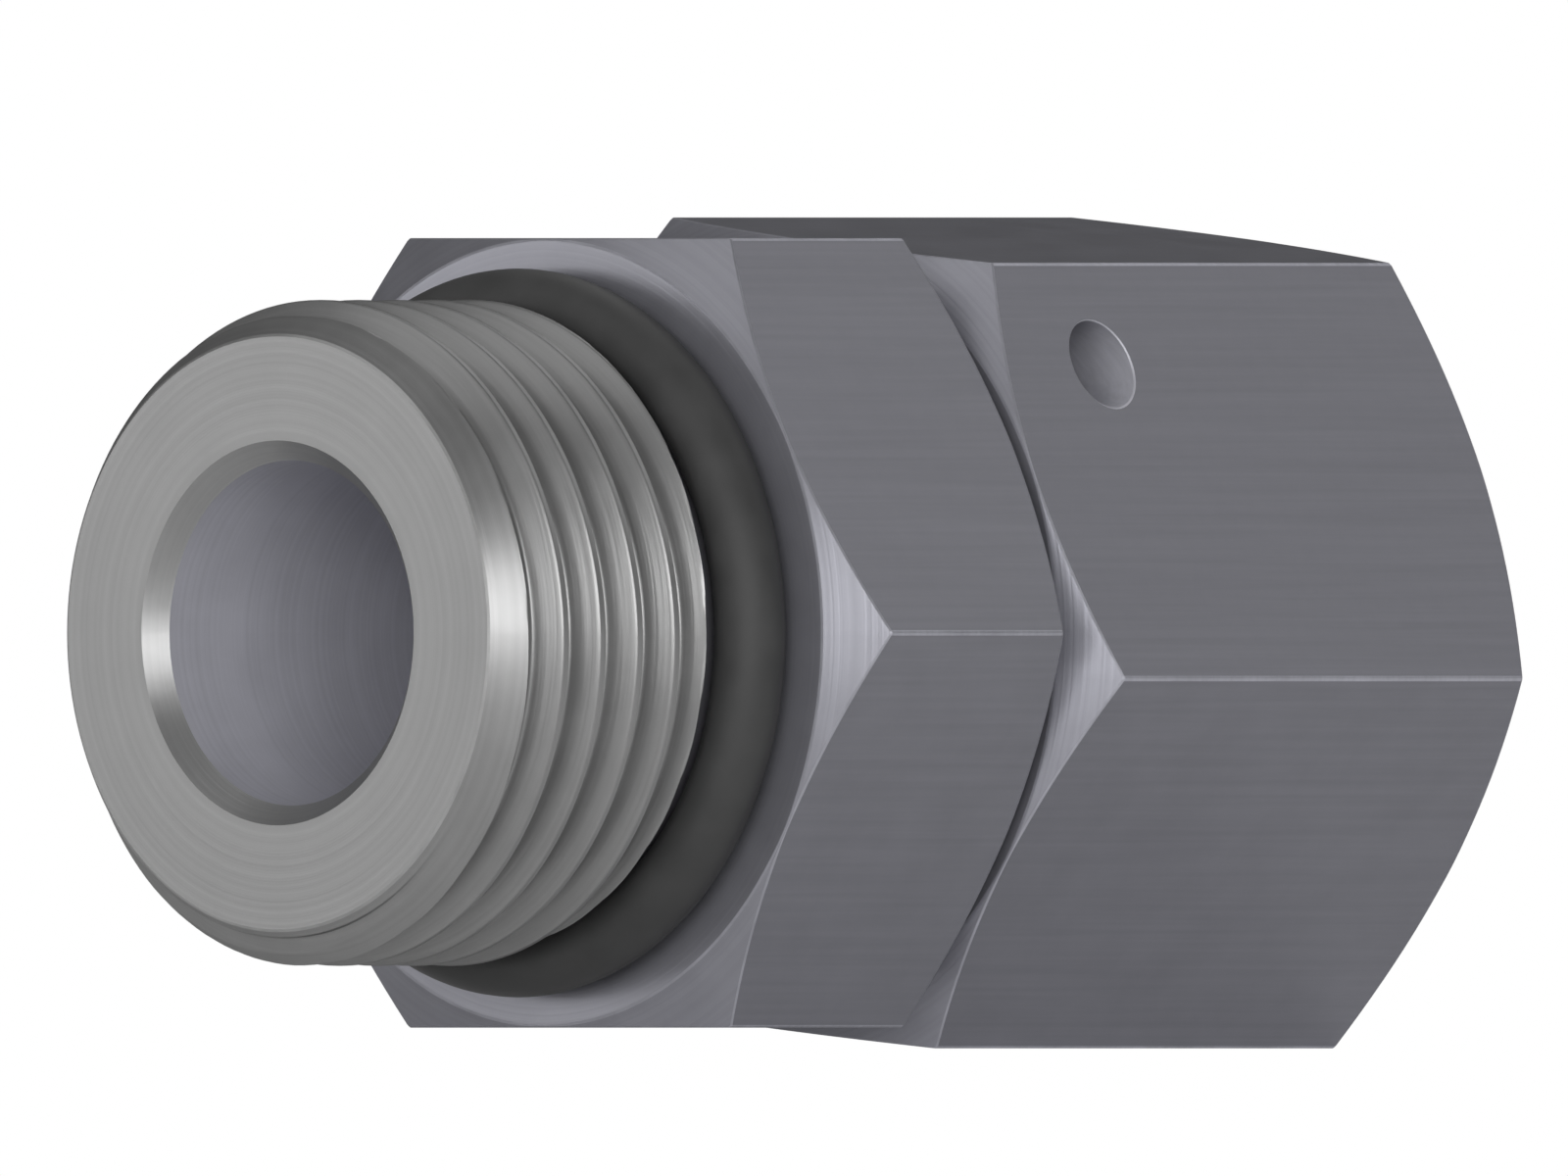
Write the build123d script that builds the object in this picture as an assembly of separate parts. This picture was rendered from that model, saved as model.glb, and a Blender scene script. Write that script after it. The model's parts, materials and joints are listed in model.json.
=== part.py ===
from build123d import *
from math import acos, degrees, radians, sqrt, tan
import os

# Straight adapter fitting for hydraulic tube: an O-ring stud on one end, a swivel nut on the other.
# The axis lies along X, with the stud towards -X and the nut towards +X, as the fitting lies on a bench.
# The origin is on the axis, in the plane of the hexagon that comes down on the port.
# Lengths are in millimetres and angles in degrees. The threads are drawn as plain cylinders: a male
# one at its crests and a female one at the bore that was drilled for it. The rings and the wire have
# a many-sided section, near enough to round at their size.

# Stud, 1 1/16-12 UN, sealed by an O-ring squeezed between the port's chamfer and the hexagon
stud_length = 15.27
stud_d = 26.99
stud_chamfer_length = 1.58
stud_chamfer_depth = 1.42

# Neck behind the thread, as wide as the O-ring that it holds and a little play
stud_ring_section = 2.95
neck_depth = 1.695
neck_play = 0.15
neck_slope_length = 1.00

# Body hexagon, milled across the bar, with its corners turned off to a cone at both ends
body_flats = 32.00
body_hex_width = 12.80
hex_chamfer_inset = 0.15
hex_chamfer_angle = 30.0

# Shank behind the hexagon, on which the nut turns
shank_d = 24.00
shank_length = 11.13
shank_chamfer = 0.50

# Fluid bore, straight through the body
bore_d = 14.00
port_bore_chamfer = 0.80
tip_bore_chamfer = 0.40

# Sealing nose, a 24 degree cone with an O-ring in a square groove
cone_half_angle = 12.0
cone_length = 10.82
cone_tip_wall = 1.40
nose_ring_section = 2.00
nose_groove_wall = 1.10
nose_groove_play = 0.70
nose_groove_from_base = 5.65

# Swivel nut, M26 x 1.5, turned on the shank to the angle at which it happens to lie
nut_flats = 32.00
nut_length = 25.76
nut_gap = 0.63
nut_turn = 5.77
nut_thread_d = 26.00
nut_thread_pitch = 1.50
nut_mouth_chamfer = 1.00
nut_lead_chamfer = 0.40
nut_relief_depth = 0.15
nut_relief_width = 1.60

# Retaining wire, pushed in through a hole in one flat until it lies half in the nut, half in the shank
wire_d = 3.00
wire_from_nut_face = 5.92
wire_hole_play = 0.35
wire_tail_angle = 2.5

# Clearances: between the nut and what it turns on, round the wire in the nut, and under each O-ring
running_clearance = 0.10
wire_seat_clearance = 0.05
ring_clearance = 0.02

# Depth of an internal metric thread, as a share of its pitch
thread_depth_share = 0.54127

# Sides of the section of the ring that shows, and of those inside the nut
open_ring_sides = 12
inner_ring_sides = 8

# Places along the axis and radii that follow from the sizes above
stud_r = stud_d / 2
neck_r = stud_r - neck_depth
neck_length = stud_ring_section + neck_play + neck_slope_length
shank_r = shank_d / 2
shank_end = body_hex_width + shank_length
bore_r = bore_d / 2
cone_tip_r = bore_r + cone_tip_wall
cone_base_r = cone_tip_r + cone_length * tan(radians(cone_half_angle))
cone_end = shank_end + cone_length
nose_groove_r = bore_r + nose_groove_wall
nose_groove_x = shank_end + nose_groove_from_base
nut_start = body_hex_width + nut_gap
nut_end = nut_start + nut_length
nut_bore_r = shank_r + running_clearance
nut_thread_r = nut_thread_d / 2
nut_thread_bore_r = nut_thread_r - thread_depth_share * nut_thread_pitch
wire_x = nut_start + wire_from_nut_face
wire_r = wire_d / 2
wire_ring_r = nut_bore_r
wire_hole_r = (wire_d + wire_hole_play) / 2


def turned(outline):
    """Solid turned about the X axis from a closed outline of (x, radius) points."""
    return revolve(make_face(Polyline(*outline, close=True)), Axis.X)


def ring(x, centre_r, section_r, sides, arc=360):
    """Ring about the X axis, with flats of its section towards the axis and along it."""
    section = Rot(Z=180 / sides) * RegularPolygon(section_r, sides, major_radius=False)
    return revolve(Plane.XZ * Pos(x, centre_r) * section, Axis.X, arc)


def hexagon(start, width, flats):
    """Hexagonal bar with corners on +Y and -Y, turned off at both ends to the chamfer circle."""
    end = start + width
    corner_r = flats / sqrt(3)
    circle_r = (flats - hex_chamfer_inset) / 2
    reach = corner_r + 1
    drop = (reach - circle_r) * tan(radians(hex_chamfer_angle))
    section = Plane.YZ.offset(start) * RegularPolygon(corner_r, 6)
    envelope = turned([
        (start, 0),
        (start, circle_r),
        (start + drop, reach),
        (end - drop, reach),
        (end, circle_r),
        (end, 0),
    ])
    return extrude(section, width) & envelope


def wire_channel(clearance):
    """Square channel all round the retaining wire, cut half in the shank and half in the nut."""
    side = wire_d + 2 * clearance
    return revolve(Plane.XZ * Pos(wire_x, wire_ring_r) * Rectangle(side, side), Axis.X)


def adapter_body():
    """Stud, hexagon, shank and sealing nose: one bar, turned, milled and bored through."""
    stud = turned([
        (-stud_length, 0),
        (-stud_length, stud_r - stud_chamfer_depth),
        (stud_chamfer_length - stud_length, stud_r),
        (-neck_length, stud_r),
        (neck_slope_length - neck_length, neck_r),
        (0, neck_r),
        (0, 0),
    ])
    shank = turned([
        (body_hex_width, 0),
        (body_hex_width, shank_r),
        (shank_end - shank_chamfer, shank_r),
        (shank_end, shank_r - shank_chamfer),
        (shank_end, cone_base_r),
        (cone_end, cone_tip_r),
        (cone_end, 0),
    ])
    bore = turned([
        (-stud_length, 0),
        (-stud_length, bore_r + port_bore_chamfer),
        (port_bore_chamfer - stud_length, bore_r),
        (cone_end - tip_bore_chamfer, bore_r),
        (cone_end, bore_r + tip_bore_chamfer),
        (cone_end, 0),
    ])
    groove_half = (nose_ring_section + nose_groove_play) / 2
    nose_groove = turned([
        (nose_groove_x - groove_half, nose_groove_r),
        (nose_groove_x + groove_half, nose_groove_r),
        (nose_groove_x + groove_half, cone_base_r),
        (nose_groove_x - groove_half, cone_base_r),
    ])
    head = hexagon(0, body_hex_width, body_flats)
    return stud + head + shank - bore - nose_groove - wire_channel(running_clearance)


def swivel_nut():
    """Nut that runs on the shank: plain bore, wire channel, relief and thread, hole in one flat."""
    relief_end = shank_end + nut_relief_width
    inside = turned([
        (nut_start, 0),
        (nut_start, nut_bore_r + nut_lead_chamfer),
        (nut_start + nut_lead_chamfer, nut_bore_r),
        (shank_end, nut_bore_r),
        (shank_end, nut_thread_r + nut_relief_depth),
        (relief_end, nut_thread_r + nut_relief_depth),
        (relief_end, nut_thread_bore_r),
        (nut_end - nut_mouth_chamfer, nut_thread_bore_r),
        (nut_end, nut_thread_bore_r + nut_mouth_chamfer),
        (nut_end, 0),
    ])
    tangent = Plane(origin=(wire_x, 0, wire_ring_r), z_dir=(0, -1, 0))
    wire_hole = extrude(tangent * Circle(wire_hole_r), nut_flats)
    nut = hexagon(nut_start, nut_length, nut_flats)
    return Rot(X=nut_turn) * (nut - inside - wire_channel(wire_seat_clearance) - wire_hole)


def retaining_wire():
    """Open ring of spring wire, from the end of its hole round to where it would meet the hole again."""
    hole_angle = degrees(acos(1 - (wire_r + wire_hole_r) / wire_ring_r))
    open_angle = hole_angle + wire_tail_angle
    wire = ring(wire_x, wire_ring_r, wire_r, inner_ring_sides, 360 - open_angle)
    return Rot(X=nut_turn + open_angle) * wire


def stud_o_ring():
    """Ring on the neck, against the hexagon."""
    section_r = stud_ring_section / 2
    centre_r = neck_r + section_r + ring_clearance
    return ring(-section_r - ring_clearance, centre_r, section_r, open_ring_sides)


def cone_o_ring():
    """Ring in the groove of the sealing nose, standing a little proud of the cone."""
    section_r = nose_ring_section / 2
    centre_r = nose_groove_r + section_r + ring_clearance
    return ring(nose_groove_x, centre_r, section_r, inner_ring_sides)


os.makedirs("parts", exist_ok=True)
for make in (adapter_body, stud_o_ring, swivel_nut, retaining_wire, cone_o_ring):
    export_step(make(), f"parts/{make.__name__}.step")
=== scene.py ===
import json
from math import atan, cos, fmod, pi, radians, sin, sqrt, tan

import bmesh
import bpy
from mathutils import Matrix, Vector


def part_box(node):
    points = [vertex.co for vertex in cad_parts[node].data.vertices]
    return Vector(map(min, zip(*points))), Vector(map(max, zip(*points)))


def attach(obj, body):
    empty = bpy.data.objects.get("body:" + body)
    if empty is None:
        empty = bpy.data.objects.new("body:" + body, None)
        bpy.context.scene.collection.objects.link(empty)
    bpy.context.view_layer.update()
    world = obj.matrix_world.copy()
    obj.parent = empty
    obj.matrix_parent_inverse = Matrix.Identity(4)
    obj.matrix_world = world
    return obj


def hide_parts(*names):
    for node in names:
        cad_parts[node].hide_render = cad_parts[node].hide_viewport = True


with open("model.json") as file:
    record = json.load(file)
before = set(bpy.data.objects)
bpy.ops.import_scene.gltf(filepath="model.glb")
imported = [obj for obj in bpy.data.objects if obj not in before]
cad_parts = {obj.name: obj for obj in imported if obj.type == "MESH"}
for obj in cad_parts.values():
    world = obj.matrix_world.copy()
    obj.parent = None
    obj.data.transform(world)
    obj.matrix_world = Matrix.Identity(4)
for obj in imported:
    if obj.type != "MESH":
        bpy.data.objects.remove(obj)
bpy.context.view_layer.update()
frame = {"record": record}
mounts = {mount["name"]: mount for mount in frame["record"]["mounts"]}
mm = 0.001

# Camera. The picture is a parallel projection, level with the fitting, from the stud's side at 45
# degrees to the axis. Its frame is 63.5 mm wide and centred a little past the body's hexagon.
picture_width = 63.54 * mm
picture_centre = Vector((13.75, 0.0, 1.82)) * mm
picture_direction = Vector((1.0, 1.0, 0.0)).normalized()
camera_distance = 0.30
camera_data = bpy.data.cameras.new("camera")
camera_data.type = "ORTHO"
camera_data.ortho_scale = picture_width
camera = bpy.data.objects.new("camera", camera_data)
camera.location = picture_centre - picture_direction * camera_distance
camera.rotation_euler = picture_direction.to_track_quat("-Z", "Y").to_euler()
bpy.context.collection.objects.link(camera)
bpy.context.scene.camera = camera

# Adapter body: one bar of free-cutting steel, turned to a stud with a 1 1/16-12 UN thread, a shank and
# a 24 degree sealing cone, with a milled hexagon between them and the fluid bore drilled through. It is
# zinc plated, and its thread is cut to a rounded root and runs out into the chamfer and the neck.
body_low, body_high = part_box("adapter_body")
stud_front = body_low.x
cone_tip = body_high.x
body_half_flats = body_high.z
stud_r = mounts["stud_thread"]["dims"]["r_mm"] * mm
bore_r = mounts["fluid_bore"]["dims"]["r_mm"] * mm
body_hex_width = 12.80 * mm
stud_pitch = 25.4 * mm / 12
stud_thread_depth = 0.54127 * stud_pitch
stud_chamfer_length = 1.58 * mm
stud_chamfer_depth = 1.42 * mm
neck_start = -3.10 * mm
neck_slope = 1.00 * mm
neck_depth = 1.695 * mm
neck_fillet = 0.25 * mm
fillet_middle = 0.3 * neck_fillet
shank_r = 12.00 * mm
shank_end = 23.93 * mm
shank_chamfer = 0.50 * mm
cone_base_r = 10.70 * mm
cone_tip_r = 8.40 * mm
port_bore_chamfer = 0.80 * mm
tip_bore_chamfer = 0.40 * mm
bore_tolerance = 0.01 * mm
nose_groove_start = 28.23 * mm
nose_groove_end = 30.93 * mm
nose_groove_r = 8.10 * mm
wire_x = 19.35 * mm
wire_ring_r = 12.10 * mm
body_channel_r = 1.60 * mm
nut_channel_r = 1.55 * mm
chamfer_inset = 0.075 * mm
chamfer_slope = tan(radians(30))
corner_round = 0.22 * mm
edge_break = 0.06 * mm
edge_share = 0.40
column_step = 2.5
columns_in_corner = 3
hard_edge = radians(12)
hard_thread_edge = radians(40)
merge_distance = 0.5e-6
grain_per_metre = (70.0, 3200.0, 3200.0)
ring_spacing = 0.22 * mm
cloud_size = 2.5 * mm
mark_depth = 0.016 * mm
tone_spread = 0.06
gloss_spread = 0.03
# Lift of the tone on broken edges: partly rubbed-off plating, partly a painted highlight.
edge_rub_and_highlight = 0.5


def corner_reach(half_flats):
    """Angle from a hexagon's corner at which its rounding meets the flat, in degrees."""
    centre = (half_flats - corner_round) / cos(pi / 6)
    return 30 - atan(centre * sin(pi / 6) / half_flats) * 180 / pi


def column_angles(half_flats):
    """Angles of the columns that every skin is made of: even steps, and more of them at the corners."""
    reach = corner_reach(half_flats)
    near = [reach * share / columns_in_corner for share in range(1, columns_in_corner + 1)]
    angles = []
    for corner in range(0, 360, 60):
        angles.append(corner)
        angles += [corner + turn for turn in near]
        angles += [corner + column_step * step for step in range(1, int(60 / column_step))]
        angles += [corner + 60 - turn for turn in reversed(near)]
    return [radians(angle) for angle in angles]


def hexagon_r(half_flats, angle):
    """Distance from the axis to a hexagon with rounded corners, one of them at angle 0."""
    from_flat = fmod(angle, pi / 3) - pi / 6
    from_corner = pi / 6 - abs(from_flat)
    if from_corner > radians(corner_reach(half_flats)) - 1e-9:
        return half_flats / cos(from_flat)
    centre = (half_flats - corner_round) / cos(pi / 6)
    return centre * cos(from_corner) + sqrt(corner_round**2 - (centre * sin(from_corner))**2)


def hexagon_stretch(start, end, half_flats, angle):
    """One column of a hexagon whose corners are turned off to a cone at both ends, with broken edges."""
    circle = half_flats - chamfer_inset
    radius = hexagon_r(half_flats, angle)
    run = (radius - circle) * chamfer_slope
    trim = min(edge_break, edge_share * (radius - circle))
    along, up = trim * sin(pi / 6), trim * cos(pi / 6)
    return [
        (start, circle - trim, "edge"),
        (start + along, circle + up, "turned"),
        (start + run - along, radius - up, "edge"),
        (start + run + trim, radius, "milled"),
        (end - run - trim, radius, "edge"),
        (end - run + along, radius - up, "turned"),
        (end - along, circle + up, "edge"),
        (end, circle - trim, "turned"),
    ]


def channel_stretch(radius, start_angle, end_angle, steps=16):
    """Round-bottomed channel for the retaining wire, as points on an arc about the wire's place."""
    turns = [start_angle + (end_angle - start_angle) * step / steps for step in range(steps + 1)]
    return [(wire_x + radius * cos(t), wire_ring_r + radius * sin(t), "turned") for t in turns]


def new_skin(thread):
    """Mesh in the making, from a thread's mesh, with layers for thread, milled faces and edges."""
    skin = bmesh.new()
    skin.from_mesh(thread)
    for layer in ("threaded", "milled", "edge"):
        skin.faces.layers.float.new(layer)
    for face in skin.faces:
        face[skin.faces.layers.float["threaded"]] = 1.0
    return skin


def add_columns(skin, angles, outline):
    """Skin round the X axis. outline(angle) gives a column: points (x, radius, kind of what follows)."""
    milled = skin.faces.layers.float["milled"]
    edge = skin.faces.layers.float["edge"]
    rows = [outline(angle) for angle in angles]
    columns = [
        [skin.verts.new((x, r * cos(angle), r * sin(angle))) for x, r, kind in row]
        for angle, row in zip(angles, rows)
    ]
    for number, here in enumerate(columns):
        beside = (number + 1) % len(columns)
        turn = angles[beside] - angles[number]
        there = columns[beside]
        for step, (x, r, kind) in enumerate(rows[number][:-1]):
            face = skin.faces.new((here[step], here[step + 1], there[step + 1], there[step]))
            narrow = 0 < turn < radians(column_step / 2) and kind == "milled"
            face[milled] = 1.0 if kind == "milled" and not narrow else 0.0
            face[edge] = 1.0 if kind == "edge" or narrow else 0.0


def finished_mesh(skin, name, materials):
    """Closes the skin, points its faces outwards and makes it a mesh with these materials."""
    bmesh.ops.remove_doubles(skin, verts=skin.verts, dist=merge_distance)
    bmesh.ops.dissolve_degenerate(skin, edges=skin.edges, dist=merge_distance)
    bmesh.ops.recalc_face_normals(skin, faces=skin.faces)
    mesh = bpy.data.meshes.new(name)
    skin.to_mesh(mesh)
    skin.free()
    for material in materials:
        mesh.materials.append(material)
    return mesh


def plain_object(mesh, name):
    """Object in the scene for a mesh."""
    piece = bpy.data.objects.new(name, mesh)
    bpy.context.collection.objects.link(piece)
    return piece


def modifiers_applied(piece):
    """Turns the piece with its modifiers into a plain mesh."""
    bpy.context.view_layer.update()
    graph = bpy.context.evaluated_depsgraph_get()
    evaluated = piece.evaluated_get(graph)
    mesh = bpy.data.meshes.new_from_object(evaluated, preserve_all_data_layers=True, depsgraph=graph)
    piece.modifiers.clear()
    piece.data = mesh
    return piece


def shaded(piece):
    """Smooth shading that keeps flats flat. Faces that meet at an angle keep a hard edge, but the rounded
    crests and roots of a thread stay smooth."""
    skin = bmesh.new()
    skin.from_mesh(piece.data)
    threaded = skin.faces.layers.float.get("threaded")
    for face in skin.faces:
        face.smooth = True
    for edge in skin.edges:
        on_thread = threaded and all(face[threaded] > 0.5 for face in edge.link_faces)
        edge.smooth = edge.calc_face_angle(0.0) < (hard_thread_edge if on_thread else hard_edge)
    skin.to_mesh(piece.data)
    skin.free()
    even = piece.modifiers.new("even", "WEIGHTED_NORMAL")
    even.keep_sharp = True
    even.weight = 80
    return modifiers_applied(piece)


def linked(tree, socket, value):
    """Sets a socket to a number or joins it to another socket."""
    if isinstance(value, bpy.types.NodeSocket):
        tree.links.new(value, socket)
    else:
        socket.default_value = value


def computed(tree, operation, *values):
    """Math node with its inputs set."""
    node = tree.nodes.new("ShaderNodeMath")
    node.operation = operation
    for socket, value in zip(node.inputs, values):
        linked(tree, socket, value)
    return node.outputs[0]


def node_of(tree, kind, settings=None, **values):
    """Node of any kind with its settings and its named inputs."""
    node = tree.nodes.new(kind)
    for name, value in (settings or {}).items():
        setattr(node, name, value)
    for name, value in values.items():
        linked(tree, node.inputs[name.replace("_", " ")], value)
    return node


def thread_tree():
    """Thread on a ring of columns. Its rows follow the helix, so each row lies at one depth, and at both
    ends the thread is cut off by a slope and closed to a circle."""
    tree = bpy.data.node_groups.new("thread", "GeometryNodeTree")
    tree.interface.new_socket("Geometry", in_out="INPUT", socket_type="NodeSocketGeometry")
    for name in ("Start", "End", "Crest Radius", "Side", "Pitch", "Depth", "Crest Width", "Rounding"):
        tree.interface.new_socket(name, in_out="INPUT", socket_type="NodeSocketFloat")
    for name in ("Start Depth", "Start Length", "End Depth", "End Length", "Lead"):
        tree.interface.new_socket(name, in_out="INPUT", socket_type="NodeSocketFloat")
    tree.interface.new_socket("Rows In Pitch", in_out="INPUT", socket_type="NodeSocketInt")
    tree.interface.new_socket("Material", in_out="INPUT", socket_type="NodeSocketMaterial")
    tree.interface.new_socket("Geometry", in_out="OUTPUT", socket_type="NodeSocketGeometry")
    given = tree.nodes.new("NodeGroupInput").outputs
    result = tree.nodes.new("NodeGroupOutput")

    count = node_of(tree, "GeometryNodeAttributeDomainSize", Geometry=given["Geometry"])
    columns = count.outputs["Point Count"]
    across = computed(tree, "ADD", columns, 1.0)
    length = computed(tree, "SUBTRACT", given["End"], given["Start"])
    pitches = computed(tree, "ADD", computed(tree, "DIVIDE", length, given["Pitch"]), 1.0)
    steps = computed(tree, "CEIL", computed(tree, "MULTIPLY", pitches, given["Rows In Pitch"]))
    rows = computed(tree, "ADD", steps, 1.0)
    grid = node_of(tree, "GeometryNodeMeshGrid", Vertices_X=rows, Vertices_Y=across)

    index = node_of(tree, "GeometryNodeInputIndex").outputs[0]
    row = computed(tree, "FLOOR", computed(tree, "DIVIDE", computed(tree, "ADD", index, 0.5), across))
    column = computed(tree, "SUBTRACT", index, computed(tree, "MULTIPLY", row, across))
    lap = computed(tree, "FLOOR", computed(tree, "DIVIDE", computed(tree, "ADD", column, 0.5), columns))
    on_ring = computed(tree, "SUBTRACT", column, computed(tree, "MULTIPLY", lap, columns))
    angle = node_of(tree, "GeometryNodeInputNamedAttribute", {"data_type": "FLOAT"}, Name="angle")
    sample = node_of(
        tree,
        "GeometryNodeSampleIndex",
        {"data_type": "FLOAT", "domain": "POINT"},
        Geometry=given["Geometry"],
        Value=angle.outputs[0],
        Index=on_ring,
    )
    turn = computed(tree, "MULTIPLY_ADD", lap, 2 * pi, sample.outputs[0])

    climb = computed(tree, "DIVIDE", row, given["Rows In Pitch"])
    from_start = computed(tree, "ADD", climb, computed(tree, "DIVIDE", turn, 2 * pi))
    rise = computed(tree, "SUBTRACT", from_start, 1.0)
    free = computed(tree, "MULTIPLY_ADD", rise, given["Pitch"], given["Start"])
    x = computed(tree, "MINIMUM", computed(tree, "MAXIMUM", free, given["Start"]), given["End"])

    within_turn = computed(tree, "FRACT", computed(tree, "ADD", climb, given["Lead"]))
    off_crest = computed(tree, "ABSOLUTE", computed(tree, "SUBTRACT", within_turn, 0.5))
    off_edge = computed(tree, "MULTIPLY_ADD", given["Crest Width"], -0.5, off_crest)
    flank = computed(tree, "MULTIPLY", computed(tree, "MULTIPLY", off_edge, given["Pitch"]), tan(pi / 3))
    crested = computed(tree, "SMOOTH_MAX", flank, 0.0, given["Rounding"])
    root_rounding = computed(tree, "MULTIPLY", given["Rounding"], 3.0)
    rooted = computed(tree, "SMOOTH_MIN", crested, given["Depth"], root_rounding)

    def slope(distance, depth, run):
        """Depth of the slope that cuts the thread off at one end."""
        left = computed(tree, "SUBTRACT", 1.0, computed(tree, "DIVIDE", distance, run))
        return computed(tree, "MULTIPLY", left, depth)

    past_start = computed(tree, "SUBTRACT", x, given["Start"])
    before_end = computed(tree, "SUBTRACT", given["End"], x)
    at_start = slope(past_start, given["Start Depth"], given["Start Length"])
    at_end = slope(before_end, given["End Depth"], given["End Length"])
    depth = computed(tree, "MAXIMUM", rooted, computed(tree, "MAXIMUM", at_start, at_end))
    inward = computed(tree, "MULTIPLY", depth, given["Side"])
    radius = computed(tree, "SUBTRACT", given["Crest Radius"], inward)
    place = node_of(
        tree,
        "ShaderNodeCombineXYZ",
        X=x,
        Y=computed(tree, "MULTIPLY", radius, computed(tree, "COSINE", turn)),
        Z=computed(tree, "MULTIPLY", radius, computed(tree, "SINE", turn)),
    )
    placed = node_of(
        tree, "GeometryNodeSetPosition", Geometry=grid.outputs["Mesh"], Position=place.outputs[0]
    )
    merged = node_of(tree, "GeometryNodeMergeByDistance", Geometry=placed.outputs[0], Distance=merge_distance)
    real = node_of(tree, "GeometryNodeRealizeInstances", Geometry=merged.outputs[0])
    dressed = node_of(
        tree, "GeometryNodeSetMaterial", Geometry=real.outputs[0], Material=given["Material"]
    )
    tree.links.new(dressed.outputs[0], result.inputs[0])
    return tree


def thread_mesh(tree, angles, values):
    """Plain mesh of a thread on columns at these angles, with the tree's inputs as named in values."""
    ring = bpy.data.meshes.new("ring")
    ring.from_pydata([(0, cos(angle), sin(angle)) for angle in angles], [], [])
    ring.attributes.new("angle", "FLOAT", "POINT").data.foreach_set("value", angles)
    carrier = plain_object(ring, "ring")
    modifier = carrier.modifiers.new("thread", "NODES")
    modifier.node_group = tree
    for item in tree.interface.items_tree:
        if item.in_out == "INPUT" and item.name in values:
            modifier[item.identifier] = values[item.name]
    mesh = modifiers_applied(carrier).data
    bpy.data.objects.remove(carrier)
    return mesh


def marks_group():
    """Turning marks as rings about the axis, milling and drawing marks along the flats, and clouding."""
    tree = bpy.data.node_groups.new("machined finish", "ShaderNodeTree")
    for name in ("Ring Spacing", "Cloud Size"):
        tree.interface.new_socket(name, in_out="INPUT", socket_type="NodeSocketFloat")
    for name in ("Height", "Cloud"):
        tree.interface.new_socket(name, in_out="OUTPUT", socket_type="NodeSocketFloat")
    given = tree.nodes.new("NodeGroupInput").outputs
    result = tree.nodes.new("NodeGroupOutput")
    place = node_of(tree, "ShaderNodeTexCoord").outputs["Object"]
    parts = node_of(tree, "ShaderNodeSeparateXYZ", Vector=place).outputs
    upward = computed(tree, "MULTIPLY", parts[2], parts[2])
    square = computed(tree, "MULTIPLY_ADD", parts[1], parts[1], upward)
    radius = computed(tree, "SQRT", square)
    per_ring = computed(tree, "DIVIDE", 1.0, given["Ring Spacing"])
    section = node_of(
        tree,
        "ShaderNodeCombineXYZ",
        X=computed(tree, "MULTIPLY", parts[0], per_ring),
        Y=computed(tree, "MULTIPLY", radius, per_ring),
    )
    rings = node_of(
        tree,
        "ShaderNodeTexNoise",
        {"noise_dimensions": "2D"},
        Vector=section.outputs[0],
        Scale=1.0,
        Detail=2.0,
    )
    stretched = node_of(tree, "ShaderNodeMapping", {"vector_type": "POINT"}, Vector=place)
    stretched.inputs["Scale"].default_value = grain_per_metre
    grain = node_of(
        tree,
        "ShaderNodeTexNoise",
        {"noise_dimensions": "3D"},
        Vector=stretched.outputs[0],
        Scale=1.0,
        Detail=2.0,
    )
    milled = node_of(tree, "ShaderNodeAttribute", {"attribute_name": "milled"}).outputs["Fac"]
    height = node_of(tree, "ShaderNodeMix", {"data_type": "FLOAT"}, Factor=milled)
    linked(tree, height.inputs["A"], rings.outputs["Fac"])
    linked(tree, height.inputs["B"], grain.outputs["Fac"])
    cloud = node_of(
        tree,
        "ShaderNodeTexNoise",
        Vector=place,
        Scale=computed(tree, "DIVIDE", 1.0, given["Cloud Size"]),
        Detail=4.0,
        Roughness=0.6,
    )
    tree.links.new(height.outputs["Result"], result.inputs["Height"])
    tree.links.new(cloud.outputs["Fac"], result.inputs["Cloud"])
    return tree


marks = marks_group()


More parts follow.
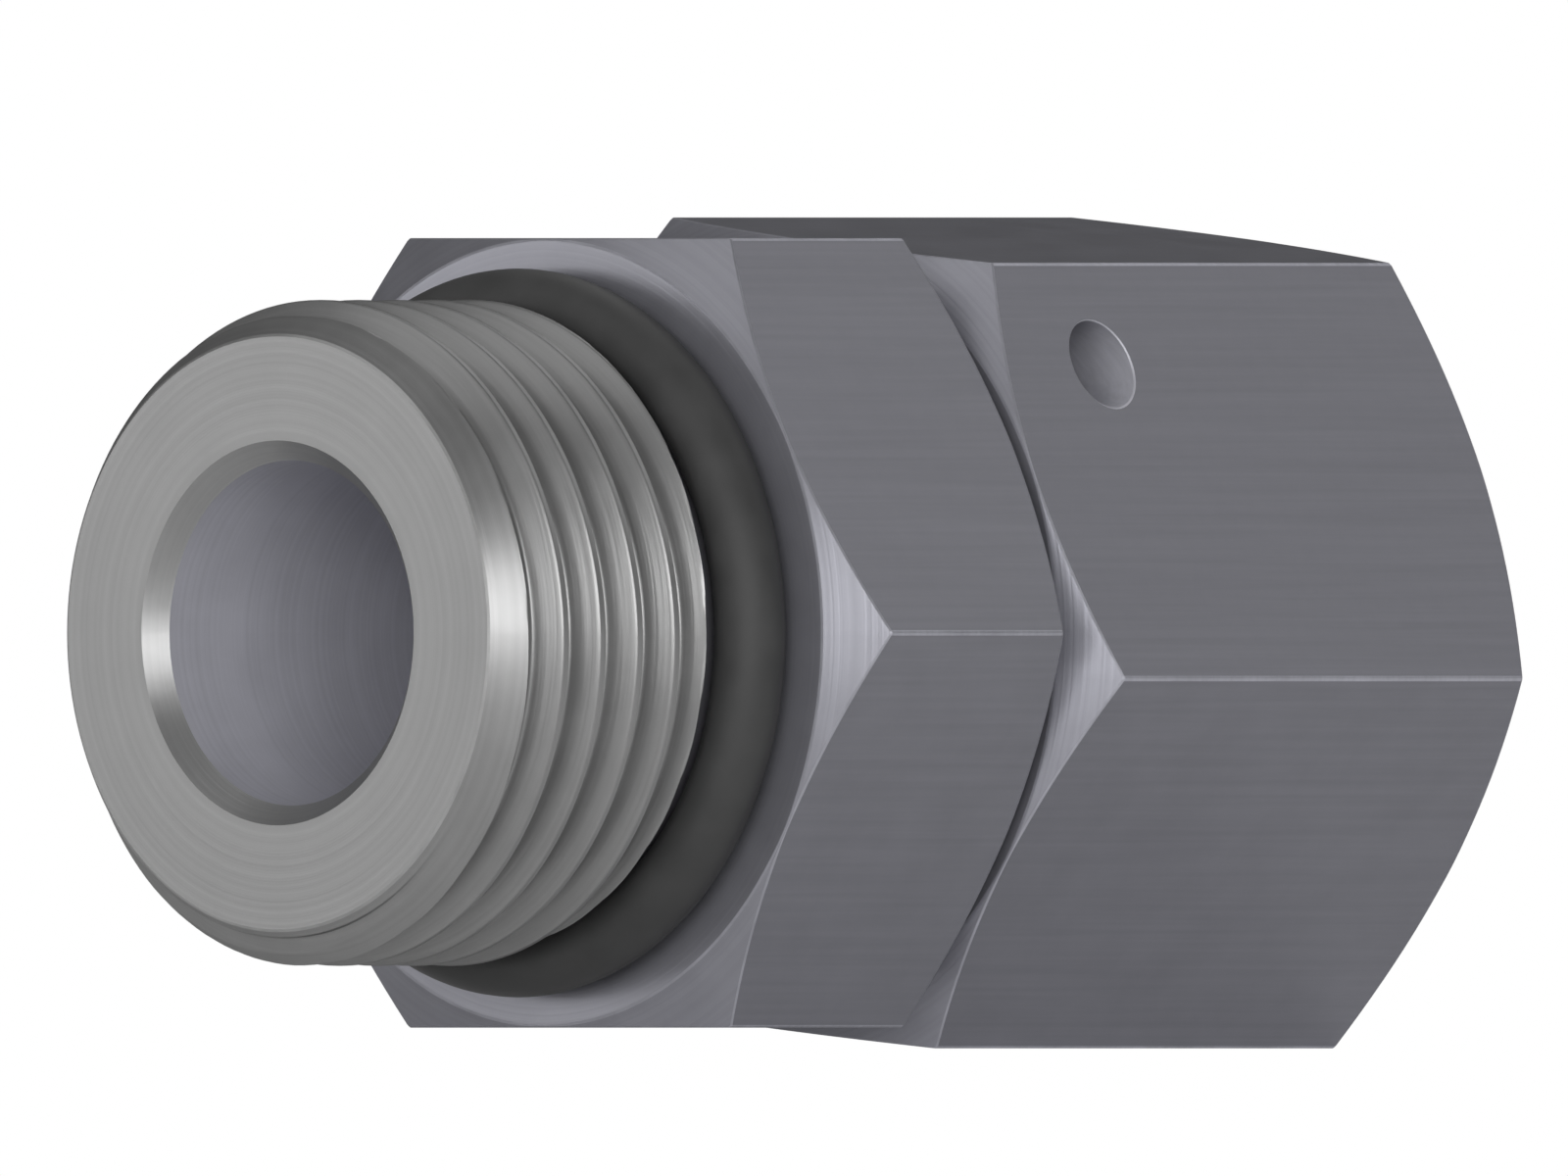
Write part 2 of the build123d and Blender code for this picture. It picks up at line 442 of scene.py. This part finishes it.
def plated_steel(name, tone, roughness, metallic, flat_shade_share=1.0):
    """Satin zinc plating. Marks and clouding vary its tone and gloss. Milled flats keep only their share of
    the tone, a painted shade that leaves the turned faces lighter, and broken edges are a little brighter,
    partly plating rubbed off and partly a painted highlight."""
    material = bpy.data.materials.new(name)
    material.use_nodes = True
    tree = material.node_tree
    shader = tree.nodes["Principled BSDF"]
    finish = node_of(
        tree,
        "ShaderNodeGroup",
        {"node_tree": marks},
        Ring_Spacing=ring_spacing,
        Cloud_Size=cloud_size,
    )
    edge = node_of(tree, "ShaderNodeAttribute", {"attribute_name": "edge"}).outputs["Fac"]
    # Broken edges and the narrow strips by the corners are lifted in tone: partly plating rubbed off, partly
    # a painted highlight.
    rub_and_highlight = computed(tree, "MULTIPLY", finish.outputs["Cloud"], edge_rub_and_highlight)
    rubbed_and_highlit = computed(tree, "MULTIPLY", edge, rub_and_highlight)
    mixed = computed(tree, "ADD", finish.outputs["Cloud"], finish.outputs["Height"])
    clouded = node_of(
        tree,
        "ShaderNodeMapRange",
        Value=mixed,
        From_Min=0.7,
        From_Max=1.3,
        To_Min=1 - tone_spread,
        To_Max=1 + tone_spread,
    ).outputs[0]
    milled = node_of(tree, "ShaderNodeAttribute", {"attribute_name": "milled"}).outputs["Fac"]
    # Milled flats take only their share of the tone: a painted shade on the flats.
    flat_shade = computed(tree, "MULTIPLY_ADD", milled, flat_shade_share - 1.0, 1.0)
    level = computed(tree, "MULTIPLY", clouded, computed(tree, "ADD", flat_shade, rubbed_and_highlit))
    colour = node_of(tree, "ShaderNodeVectorMath", {"operation": "SCALE"}, Scale=level)
    colour.inputs[0].default_value = tone
    gloss = node_of(
        tree,
        "ShaderNodeMapRange",
        Value=finish.outputs["Cloud"],
        From_Min=0.3,
        From_Max=0.7,
        To_Min=roughness - gloss_spread,
        To_Max=roughness + gloss_spread,
    ).outputs[0]
    height = finish.outputs["Height"]
    bump = node_of(tree, "ShaderNodeBump", Height=height, Strength=0.5, Distance=mark_depth)
    tree.links.new(colour.outputs[0], shader.inputs["Base Color"])
    tree.links.new(gloss, shader.inputs["Roughness"])
    tree.links.new(bump.outputs[0], shader.inputs["Normal"])
    shader.inputs["Metallic"].default_value = metallic
    shader.inputs["Specular Tint"].default_value = (0.25, 0.25, 0.25, 1.0)
    return material


# The body's flats keep 0.76 of its tone, a painted shade.
body_steel = plated_steel("plated_steel_body", (0.31, 0.31, 0.345), 0.38, 0.62, flat_shade_share=0.76)
stud_steel = plated_steel("plated_steel_stud", (0.285, 0.285, 0.285), 0.36, 0.65)
# The bore and the wire hole get a paler, less metallic copy of the plating: painted light against the shade
# inside them.
lit_bore_steel = plated_steel("plated_steel_bore_painted_light", (0.52, 0.52, 0.57), 0.55, 0.35)
body_angles = column_angles(body_half_flats)
threads = thread_tree()
stud_thread = thread_mesh(threads, body_angles, {
    "Start": stud_front + edge_break,
    "End": neck_start,
    "Crest Radius": stud_r,
    "Side": 1.0,
    "Pitch": stud_pitch,
    "Depth": stud_thread_depth,
    "Crest Width": 0.125,
    "Rounding": 0.06 * mm,
    "Start Depth": stud_chamfer_depth * (1 - edge_break / stud_chamfer_length),
    "Start Length": stud_chamfer_length - edge_break,
    "End Depth": neck_depth,
    "End Length": neck_slope,
    "Lead": 0.594,
    "Rows In Pitch": 48,
    "Material": stud_steel,
})


def body_outline(angle):
    """One column of the body, from the end of the thread over the cone's tip and back to its start."""
    neck_r = stud_r - neck_depth
    front_r = stud_r - stud_chamfer_depth
    half_width = sqrt(body_channel_r**2 - (wire_ring_r - shank_r)**2)
    channel_turn = atan((wire_ring_r - shank_r) / half_width)
    cone_slope = (cone_base_r - cone_tip_r) / (cone_tip - shank_end)
    return [
        (neck_start, neck_r, "turned"),
        (-neck_fillet, neck_r, "turned"),
        (-fillet_middle, neck_r + fillet_middle, "turned"),
        (0.0, neck_r + neck_fillet, "turned"),
        *hexagon_stretch(0.0, body_hex_width, body_half_flats, angle),
        (body_hex_width, shank_r + neck_fillet, "turned"),
        (body_hex_width + fillet_middle, shank_r + fillet_middle, "turned"),
        (body_hex_width + neck_fillet, shank_r, "turned"),
        *channel_stretch(body_channel_r, pi + channel_turn, 2 * pi - channel_turn),
        (shank_end - shank_chamfer, shank_r, "turned"),
        (shank_end, shank_r - shank_chamfer, "turned"),
        (shank_end, cone_base_r, "turned"),
        (nose_groove_start, cone_base_r - cone_slope * (nose_groove_start - shank_end), "turned"),
        (nose_groove_start, nose_groove_r, "turned"),
        (nose_groove_end, nose_groove_r, "turned"),
        (nose_groove_end, cone_base_r - cone_slope * (nose_groove_end - shank_end), "turned"),
        (cone_tip - edge_break, cone_tip_r + cone_slope * edge_break, "edge"),
        (cone_tip, cone_tip_r - edge_break, "turned"),
        (cone_tip, bore_r + tip_bore_chamfer, "turned"),
        (cone_tip - tip_bore_chamfer, bore_r, "turned"),
        (stud_front + port_bore_chamfer, bore_r, "turned"),
        (stud_front, bore_r + port_bore_chamfer, "turned"),
        (stud_front, front_r - edge_break, "edge"),
        (stud_front + edge_break, front_r + edge_break * stud_chamfer_depth / stud_chamfer_length, "turned"),
    ]


body_skin = new_skin(stud_thread)
add_columns(body_skin, body_angles, body_outline)
# Faces inside the bore take the paler copy of the plating, painted light.
for face in body_skin.faces:
    middle = face.calc_center_median()
    in_bore = middle.yz.length < bore_r + bore_tolerance
    on_stud = middle.x < neck_start and not in_bore
    face.material_index = 2 if in_bore else 1 if on_stud else 0
body_mesh = finished_mesh(body_skin, "threaded_body", [body_steel, stud_steel, lit_bore_steel])
body = plain_object(body_mesh, "threaded_body")
shaded(body)
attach(body, "adapter")
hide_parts("adapter_body")


# O-ring of the stud: black nitrile rubber, moulded, with a faint flash line where the mould closed. It
# lies on the neck against the hexagon.
ring_low, ring_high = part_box("stud_o_ring")
flash = 0.02 * mm
flash_narrowness = 24


def o_ring(name, low, high, material, turns=160, sides=40):
    """Round ring of rubber in the place of a CAD ring, with a low ridge on its inside and outside."""
    section_r = (high.x - low.x) / 2
    centre_r = high.y - section_r
    centre_x = (low.x + high.x) / 2
    skin = bmesh.new()
    circles = []
    for turn in range(turns):
        angle = 2 * pi * turn / turns
        circle = []
        for side in range(sides):
            tilt = 2 * pi * side / sides
            bulge = section_r - flash + flash * abs(sin(tilt))**flash_narrowness
            radius = centre_r + bulge * sin(tilt)
            place = (centre_x + bulge * cos(tilt), radius * cos(angle), radius * sin(angle))
            circle.append(skin.verts.new(place))
        circles.append(circle)
    for here, there in zip(circles, circles[1:] + circles[:1]):
        for side in range(sides):
            beside = (side + 1) % sides
            skin.faces.new((here[side], here[beside], there[beside], there[side]))
    ring = plain_object(finished_mesh(skin, name, [material]), name)
    ring.data.polygons.foreach_set("use_smooth", [True] * len(ring.data.polygons))
    return ring


def rubber(name, tone):
    """Matt black rubber with a slightly bloomed, finely grained surface."""
    material = bpy.data.materials.new(name)
    material.use_nodes = True
    tree = material.node_tree
    shader = tree.nodes["Principled BSDF"]
    place = node_of(tree, "ShaderNodeTexCoord").outputs["Object"]
    bloom = node_of(tree, "ShaderNodeTexNoise", Vector=place, Scale=400.0, Detail=4.0)
    grain = node_of(tree, "ShaderNodeTexNoise", Vector=place, Scale=9000.0, Detail=2.0)
    level = node_of(
        tree,
        "ShaderNodeMapRange",
        Value=bloom.outputs["Fac"],
        From_Min=0.3,
        From_Max=0.7,
        To_Min=0.85,
        To_Max=1.15,
    ).outputs[0]
    lit = node_of(tree, "ShaderNodeVectorMath", {"operation": "SCALE"}, Scale=level)
    lit.inputs[0].default_value = tone
    gloss = node_of(
        tree,
        "ShaderNodeMapRange",
        Value=bloom.outputs["Fac"],
        From_Min=0.3,
        From_Max=0.7,
        To_Min=0.50,
        To_Max=0.62,
    ).outputs[0]
    bump = node_of(tree, "ShaderNodeBump", Height=grain.outputs["Fac"], Strength=0.2, Distance=0.01 * mm)
    tree.links.new(lit.outputs[0], shader.inputs["Base Color"])
    tree.links.new(gloss, shader.inputs["Roughness"])
    tree.links.new(bump.outputs[0], shader.inputs["Normal"])
    shader.inputs["Specular IOR Level"].default_value = 0.3
    return material


nitrile = rubber("nitrile_rubber", (0.055, 0.055, 0.055))
stud_ring = o_ring("stud_seal", ring_low, ring_high, nitrile)
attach(stud_ring, "adapter")
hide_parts("stud_o_ring")

# O-ring of the sealing cone: the same rubber, in the square groove of the cone, inside the nut, where
# it stands a little proud of the cone until the connection is drawn over it.
nose_low, nose_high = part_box("cone_o_ring")
nose_ring = o_ring("cone_seal", nose_low, nose_high, nitrile, turns=120, sides=32)
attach(nose_ring, "adapter")
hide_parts("cone_o_ring")

# Swivel nut: hexagon bar, bored to run on the shank and threaded M26 x 1.5 from the open end. Its
# channel for the retaining wire is filled through a hole drilled along the channel in one flat. It lies
# turned by a few degrees against the body.
nut_low, nut_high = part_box("swivel_nut")
nut_start = nut_low.x
nut_end = nut_high.x
nut_half_flats = body_half_flats
nut_turn = radians(5.77)
nut_pitch = 1.50 * mm
nut_thread_depth = 0.54127 * nut_pitch
nut_thread_r = 13.00 * mm
nut_thread_bore_r = nut_thread_r - nut_thread_depth
nut_bore_r = 12.10 * mm
nut_relief_r = 13.15 * mm
nut_relief_end = 25.53 * mm
nut_lead_chamfer = 0.40 * mm
nut_mouth_chamfer = 1.00 * mm
nut_relief_lead = 0.25 * mm
wire_hole_r = 1.675 * mm
wire_hole_sides = 48
wire_hole_break = 0.06 * mm

# The nut's flats keep 0.69 of its tone, a painted shade, and its turned faces stay lighter.
nut_steel = plated_steel("plated_steel_nut", (0.34, 0.34, 0.38), 0.39, 0.62, flat_shade_share=0.69)
nut_angles = column_angles(nut_half_flats)
nut_thread = thread_mesh(threads, nut_angles, {
    "Start": nut_relief_end,
    "End": nut_end - edge_break,
    "Crest Radius": nut_thread_bore_r,
    "Side": -1.0,
    "Pitch": nut_pitch,
    "Depth": nut_thread_depth,
    "Crest Width": 0.25,
    "Rounding": 0.04 * mm,
    "Start Depth": nut_relief_r - nut_thread_bore_r,
    "Start Length": nut_relief_lead,
    "End Depth": nut_mouth_chamfer - edge_break,
    "End Length": nut_mouth_chamfer - edge_break,
    "Lead": 0.0,
    "Rows In Pitch": 16,
    "Material": nut_steel,
})


def nut_outline(angle):
    """One column of the nut, from the inner end of its thread over the front face to the mouth."""
    mouth_r = nut_thread_bore_r + nut_mouth_chamfer
    return [
        (nut_relief_end, nut_relief_r, "turned"),
        (shank_end, nut_relief_r, "turned"),
        (shank_end, nut_bore_r, "turned"),
        *channel_stretch(nut_channel_r, 0.0, pi),
        (nut_start + nut_lead_chamfer, nut_bore_r, "turned"),
        (nut_start, nut_bore_r + nut_lead_chamfer, "turned"),
        *hexagon_stretch(nut_start, nut_end, nut_half_flats, angle),
        (nut_end, mouth_r + edge_break, "edge"),
        (nut_end - edge_break, mouth_r - edge_break, "turned"),
    ]


def wire_hole_cutter():
    """Drill for the wire's hole, along -Y from the top of the channel, with a broken edge at the flat."""
    lean = tan(pi / 6)
    flat_y = -nut_half_flats / cos(pi / 6)
    middle = Vector((wire_x, flat_y + wire_ring_r * lean, wire_ring_r))
    rings = []
    for depth, spread in ((None, 0.0), (wire_hole_break, 0.0), (-wire_hole_break, 2 * wire_hole_break)):
        ring = []
        for side in range(wire_hole_sides):
            turn = 2 * pi * side / wire_hole_sides
            x, z = wire_hole_r * cos(turn), wire_hole_r * sin(turn)
            place = Vector((wire_x + x, 0.0, wire_ring_r + z))
            if depth is not None:
                place.y = middle.y + z * lean + depth / cos(pi / 6)
                place += (place - middle).normalized() * spread
            ring.append(place)
        rings.append(ring)
    skin = bmesh.new()
    made = [[skin.verts.new(place) for place in ring] for ring in rings]
    for near, far in zip(made, made[1:]):
        for side in range(wire_hole_sides):
            beside = (side + 1) % wire_hole_sides
            skin.faces.new((near[side], near[beside], far[beside], far[side]))
    skin.faces.new(made[0])
    skin.faces.new(made[-1])
    # The hole's wall takes the paler bore plating, painted light.
    return plain_object(finished_mesh(skin, "drill", [lit_bore_steel]), "drill")


nut_skin = new_skin(nut_thread)
add_columns(nut_skin, nut_angles, nut_outline)
nut = plain_object(finished_mesh(nut_skin, "threaded_nut", [nut_steel]), "threaded_nut")
drill = wire_hole_cutter()
drilled = nut.modifiers.new("wire hole", "BOOLEAN")
drilled.operation = "DIFFERENCE"
drilled.solver = "EXACT"
drilled.object = drill
drilled.material_mode = "TRANSFER"
modifiers_applied(nut)
bpy.data.objects.remove(drill)
drilled_skin = bmesh.new()
drilled_skin.from_mesh(nut.data)
bmesh.ops.remove_doubles(drilled_skin, verts=drilled_skin.verts, dist=merge_distance)
bmesh.ops.dissolve_degenerate(drilled_skin, edges=drilled_skin.edges, dist=merge_distance)
drilled_skin.to_mesh(nut.data)
drilled_skin.free()
nut.data.transform(Matrix.Rotation(nut_turn, 4, "X"))
shaded(nut)
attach(nut, "nut")
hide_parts("swivel_nut")

# Retaining wire: round spring wire, pushed into the channel through the hole until it lies half in the
# nut and half in the shank. Its cropped end stays just inside the hole.
wire_r = 1.50 * mm
wire_open = radians(44.95)
wire_sides = 24
wire_steps = 120
wire_crop = 0.15 * mm


def drawn_wire():
    """Open ring of round wire with slightly chamfered ends."""
    skin = bmesh.new()
    circles = []
    for step in range(-1, wire_steps + 2):
        at_end = step in (-1, wire_steps + 1)
        part = min(max(step, 0), wire_steps) / wire_steps
        angle = nut_turn + pi / 2 - (2 * pi - wire_open) * part
        radius = wire_r - wire_crop if at_end else wire_r
        inset = wire_crop / wire_ring_r
        if 0 <= step <= wire_steps:
            angle += -inset if step == 0 else inset if step == wire_steps else 0
        circle = []
        for side in range(wire_sides):
            tilt = 2 * pi * side / wire_sides
            out = wire_ring_r + radius * sin(tilt)
            circle.append(skin.verts.new((wire_x + radius * cos(tilt), out * cos(angle), out * sin(angle))))
        circles.append(circle)
    for here, there in zip(circles, circles[1:]):
        for side in range(wire_sides):
            beside = (side + 1) % wire_sides
            skin.faces.new((here[side], here[beside], there[beside], there[side]))
    skin.faces.new(circles[0])
    skin.faces.new(circles[-1])
    return skin


wire_steel = plated_steel("spring_wire", (0.30, 0.30, 0.31), 0.35, 0.80)
wire = plain_object(finished_mesh(drawn_wire(), "round_wire", [wire_steel]), "round_wire")
shaded(wire)
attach(wire, "nut")
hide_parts("retaining_wire")

# Studio: a pale floor that the nut's lowest corner rests on, five large soft lamps, and a surround that
# is white up to the horizon and falls off to grey above it. The floor looks paler to the camera and in
# reflections than its light alone makes it, and it cannot be seen from below.
floor_z = min(nut_low.z, body_low.z)
floor_half = 0.8
floor_tone = 0.82
floor_glow = 0.34
surround_grey = 0.11
floor_mesh = bpy.data.meshes.new("floor")
corners = [(-1, -1), (1, -1), (1, 1), (-1, 1)]
floor_mesh.from_pydata([(x * floor_half, y * floor_half, floor_z) for x, y in corners], [], [(0, 1, 2, 3)])
floor = plain_object(floor_mesh, "floor")
floor_paint = bpy.data.materials.new("pale_floor")
floor_paint.use_nodes = True
floor_tree = floor_paint.node_tree
floor_shader = floor_tree.nodes["Principled BSDF"]
floor_shader.inputs["Base Color"].default_value = (floor_tone, floor_tone, floor_tone, 1.0)
floor_shader.inputs["Roughness"].default_value = 0.9
floor_shader.inputs["Specular IOR Level"].default_value = 0.0
floor_shader.inputs["Emission Color"].default_value = (1.0, 1.0, 1.0, 1.0)
ray = node_of(floor_tree, "ShaderNodeLightPath").outputs
seen = computed(floor_tree, "MAXIMUM", ray["Is Camera Ray"], ray["Is Glossy Ray"])
seen = computed(floor_tree, "MAXIMUM", seen, ray["Is Transmission Ray"])
glow = computed(floor_tree, "MULTIPLY", seen, floor_glow)
floor_tree.links.new(glow, floor_shader.inputs["Emission Strength"])
behind = node_of(floor_tree, "ShaderNodeNewGeometry").outputs["Backfacing"]
floor_tree.links.new(computed(floor_tree, "SUBTRACT", 1.0, behind), floor_shader.inputs["Alpha"])
floor_mesh.materials.append(floor_paint)


def soft_lamp(name, place, width, height, power):
    """Large flat lamp that looks at the fitting and does not show in the picture itself."""
    data = bpy.data.lights.new(name, "AREA")
    data.shape = "RECTANGLE"
    data.size = width
    data.size_y = height
    data.energy = power
    lamp = bpy.data.objects.new(name, data)
    lamp.visible_camera = False
    lamp.location = place
    lamp.rotation_euler = (picture_centre - Vector(place)).to_track_quat("-Z", "Y").to_euler()
    bpy.context.collection.objects.link(lamp)


soft_lamp("key", (-0.42, -0.42, 0.08), 0.60, 0.22, 2.5)
soft_lamp("left", (-0.45, 0.45, 0.06), 0.45, 0.15, 0.35)
soft_lamp("right", (0.50, -0.25, 0.43), 0.50, 0.50, 0.6)
soft_lamp("back", (0.40, 0.22, 0.66), 0.45, 0.45, 1.0)
soft_lamp("upper left", (-0.47, 0.21, 0.54), 0.50, 0.50, 0.65)

world = bpy.data.worlds.new("white surround")
world.use_nodes = True
bpy.context.scene.world = world
surround = world.node_tree
background = surround.nodes["Background"]
direction = node_of(surround, "ShaderNodeTexCoord").outputs["Generated"]
height = node_of(surround, "ShaderNodeSeparateXYZ", Vector=direction).outputs["Z"]
level = node_of(
    surround,
    "ShaderNodeMapRange",
    {"interpolation_type": "SMOOTHSTEP"},
    Value=height,
    From_Min=0.01,
    From_Max=0.06,
    To_Min=1.0,
    To_Max=surround_grey,
).outputs[0]
background.inputs["Color"].default_value = (1.0, 1.0, 1.0, 1.0)
surround.links.new(level, background.inputs["Strength"])

bpy.context.scene.view_settings.view_transform = "Standard"
